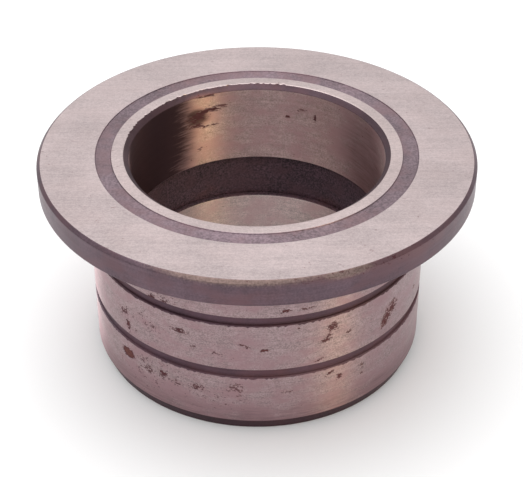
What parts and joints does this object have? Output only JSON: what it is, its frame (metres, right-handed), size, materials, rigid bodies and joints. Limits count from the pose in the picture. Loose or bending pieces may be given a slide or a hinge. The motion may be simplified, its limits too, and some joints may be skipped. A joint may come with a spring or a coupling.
{
  "type": "flanged sleeve bushing",
  "caption": "Ground steel bushing shell with a round flange ring, two shallow outer grooves, and bronze sleeves that leave a lubricant reservoir in the bore.",
  "frame": {"origin": "centre of the lower end face, on the axis of the bore", "axes": "+Z along the bore towards the flange face; the part is turned about +Z, so +X and +Y are free"},
  "size_m": [0.1024, 0.1024, 0.0517],
  "materials": {
    "ground_steel": "flat ground face with fine straight grinding lines, dark unground rim",
    "hardened_steel": "ground round the body, dark unground grooves and end faces, light rust spots",
    "bronze": "satin ground bore, pinkish grey-brown"
  },
  "bodies": {
    "root": {"flange_ring": "ground_steel", "outer_shell": "hardened_steel", "upper_bronze_sleeve": "bronze", "lower_bronze_sleeve": "bronze"}
  },
  "joints": []
}
